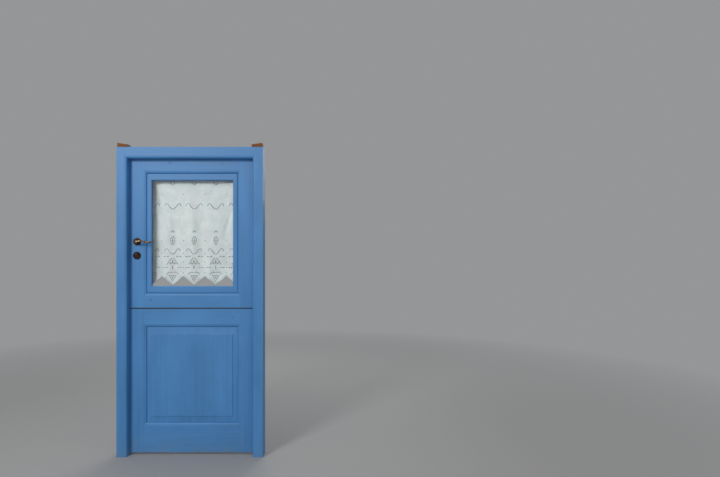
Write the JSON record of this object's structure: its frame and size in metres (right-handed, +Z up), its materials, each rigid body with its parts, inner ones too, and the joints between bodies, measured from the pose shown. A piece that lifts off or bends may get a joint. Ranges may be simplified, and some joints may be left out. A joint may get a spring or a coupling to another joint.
{
  "type": "dutch stable door",
  "caption": "Painted timber stable door in its frame: glazed upper leaf with lace curtain and lever lock, lower leaf with raised panel, each on its own hinges.",
  "frame": {"origin": "on the floor, at the middle of the width and of the whole depth", "axes": "X to the right seen from outside, Y inward through the wall, Z up"},
  "size_m": [0.966, 0.157, 2.076],
  "materials": {
    "blue_paint": "satin blue paint on softwood",
    "bare_wood": "bare, weathered",
    "bright_steel": "zinc plated",
    "dark_bronze": "antique bronze, worn bright on the grip",
    "lock_brass": "dull brass",
    "window_glass": "clear",
    "lace": "white cutwork lace"
  },
  "bodies": {
    "frame": {"left_jamb": "blue_paint", "right_jamb": "blue_paint", "frame_head": "blue_paint", "left_packer": "bare_wood", "right_packer": "bare_wood", "strike_plate": "bright_steel", "side_bolt_keeper": "bright_steel", "lower_leaf_bottom_hinge_fixed_half": "bright_steel", "lower_leaf_top_hinge_fixed_half": "bright_steel", "upper_leaf_bottom_hinge_fixed_half": "bright_steel", "upper_leaf_top_hinge_fixed_half": "bright_steel", "hinge_pins": "bright_steel", "frame_screws": "bright_steel"},
    "upper_leaf": {"upper_left_stile": "blue_paint", "upper_right_stile": "blue_paint", "upper_leaf_top_rail": "blue_paint", "upper_leaf_bottom_rail": "blue_paint", "window_glass": "window_glass", "glazing_moulding_left": "blue_paint", "glazing_moulding_right": "blue_paint", "glazing_moulding_top": "blue_paint", "glazing_moulding_bottom": "blue_paint", "inside_bead_left": "blue_paint", "inside_bead_right": "blue_paint", "inside_bead_top": "blue_paint", "inside_bead_bottom": "blue_paint", "upper_leaf_bottom_hinge_swinging_half": "bright_steel", "upper_leaf_top_hinge_swinging_half": "bright_steel", "lock_case": "bright_steel", "lock_faceplate": "bright_steel", "outer_lever_rose": "dark_bronze", "inner_lever_rose": "dark_bronze", "outer_cylinder_rose": "dark_bronze", "inner_cylinder_rose": "dark_bronze", "lock_cylinder": "lock_brass", "upper_leaf_screws": "bright_steel", "joining_bolt_plate": "bright_steel", "curtain_rod": "lock_brass", "curtain_rod_brackets": "lock_brass", "lace_curtain": "lace"},
    "lever_set": {"outer_lever": "dark_bronze", "inner_lever": "dark_bronze", "lever_spindle": "bright_steel", "latch_follower": "bright_steel"},
    "latch": {"latch_bolt": "bright_steel"},
    "plug": {"cylinder_plug": "lock_brass"},
    "dead_lock": {"dead_bolt": "bright_steel"},
    "joining_slide": {"joining_bolt": "bright_steel"},
    "lower_leaf": {"lower_left_stile": "blue_paint", "lower_right_stile": "blue_paint", "lower_leaf_top_rail": "blue_paint", "lower_leaf_bottom_rail": "blue_paint", "raised_panel": "blue_paint", "lower_leaf_bottom_hinge_swinging_half": "bright_steel", "lower_leaf_top_hinge_swinging_half": "bright_steel", "side_bolt_plate": "bright_steel", "joining_bolt_keeper": "bright_steel", "lower_leaf_screws": "bright_steel"},
    "side_slide": {"side_bolt": "bright_steel"}
  },
  "joints": [
    {"name": "upper_leaf_swing", "type": "hinge", "parent": "frame", "child": "upper_leaf", "pos_m": [0.4255, 0.0315, 1.49], "axis": [0, 0, -1], "range_deg": [0, 100]},
    {"name": "lower_leaf_swing", "type": "hinge", "parent": "frame", "child": "lower_leaf", "pos_m": [0.4255, 0.0315, 0.49], "axis": [0, 0, -1], "range_deg": [0, 100]},
    {"name": "lever_turn", "type": "hinge", "parent": "upper_leaf", "child": "lever_set", "pos_m": [-0.367, 0.002, 1.424], "axis": [0, 1, 0], "range_deg": [0, 40], "stiffness_Nm_per_rad": 1.2, "springref_deg": -20.05},
    {"name": "latch_slide", "type": "slide", "parent": "upper_leaf", "child": "latch", "axis": [1, 0, 0], "range_m": [0, 0.011]},
    {"name": "plug_turn", "type": "hinge", "parent": "upper_leaf", "child": "plug", "pos_m": [-0.367, 0.002, 1.339], "axis": [0, 1, 0], "range_deg": [0, 360]},
    {"name": "dead_bolt_slide", "type": "slide", "parent": "upper_leaf", "child": "dead_lock", "axis": [-1, 0, 0], "range_m": [0, 0.02]},
    {"name": "joining_bolt_slide", "type": "slide", "parent": "upper_leaf", "child": "joining_slide", "axis": [0, 0, -1], "range_m": [0, 0.03]},
    {"name": "side_bolt_slide", "type": "slide", "parent": "lower_leaf", "child": "side_slide", "axis": [-1, 0, 0], "range_m": [0, 0.03]}
  ],
  "couplings": [
    {"joint": "latch_slide", "follows": "lever_turn", "m_per_rad": 0.01575},
    {"joint": "plug_turn", "follows": "dead_bolt_slide", "rad_per_m": 314}
  ]
}
